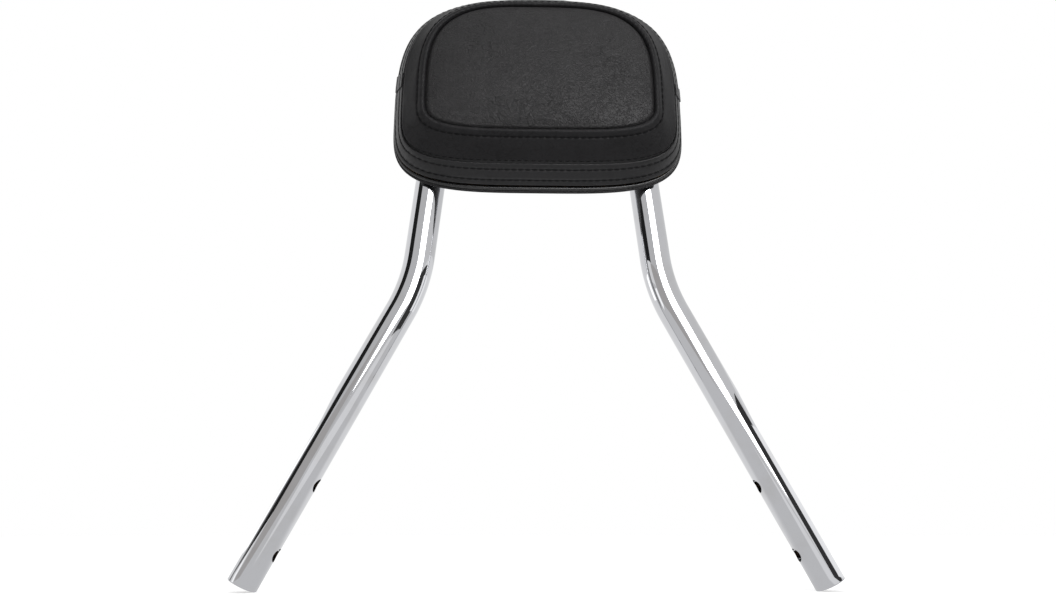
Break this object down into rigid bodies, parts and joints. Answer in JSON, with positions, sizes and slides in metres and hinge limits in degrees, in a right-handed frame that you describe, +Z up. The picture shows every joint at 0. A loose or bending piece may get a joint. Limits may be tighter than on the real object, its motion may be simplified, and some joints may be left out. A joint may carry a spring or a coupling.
{
  "type": "motorcycle sissy bar with backrest pad",
  "caption": "Bent chrome tube hoop with splayed, drilled legs that carries a padded black vinyl backrest for a motorcycle passenger.",
  "frame": {"origin": "below the middle of the part: z = 0 at the lowest point of both leg ends, x = 0 on the symmetry plane, y = 0 half way between the pad's face and the back of the tube", "axes": "+Z up along the hoop's plane, the pad faces -Y, +X to the right as seen facing the pad"},
  "size_m": [0.4632, 0.0826, 0.5159],
  "materials": {
    "chrome_plate": "bright chrome plate on polished steel tube",
    "plywood": "bare plywood",
    "foam": "moulded polyurethane foam",
    "grained_vinyl": "black grained vinyl, soft sheen",
    "edge_vinyl": "black smooth vinyl, slight gloss",
    "zinc_steel": "zinc plated steel"
  },
  "bodies": {
    "root": {"bar_tube": "chrome_plate", "upper_strap": "chrome_plate", "lower_strap": "chrome_plate", "back_cover": "edge_vinyl", "base_board": "plywood", "foam_core": "foam", "centre_panel": "grained_vinyl", "border_panel": "grained_vinyl", "boxing_upper": "grained_vinyl", "boxing_lower": "grained_vinyl", "joint_tab_left": "grained_vinyl", "joint_tab_right": "grained_vinyl", "welt_cord": "edge_vinyl", "screw_upper_left": "zinc_steel", "screw_upper_right": "zinc_steel", "screw_lower_left": "zinc_steel", "screw_lower_right": "zinc_steel", "spring_washer_upper_left": "zinc_steel", "spring_washer_upper_right": "zinc_steel", "spring_washer_lower_left": "zinc_steel", "spring_washer_lower_right": "zinc_steel", "flat_washer_upper_left": "zinc_steel", "flat_washer_upper_right": "zinc_steel", "flat_washer_lower_left": "zinc_steel", "flat_washer_lower_right": "zinc_steel", "tee_nut_upper_left": "zinc_steel", "tee_nut_upper_right": "zinc_steel", "tee_nut_lower_left": "zinc_steel", "tee_nut_lower_right": "zinc_steel"}
  },
  "joints": []
}
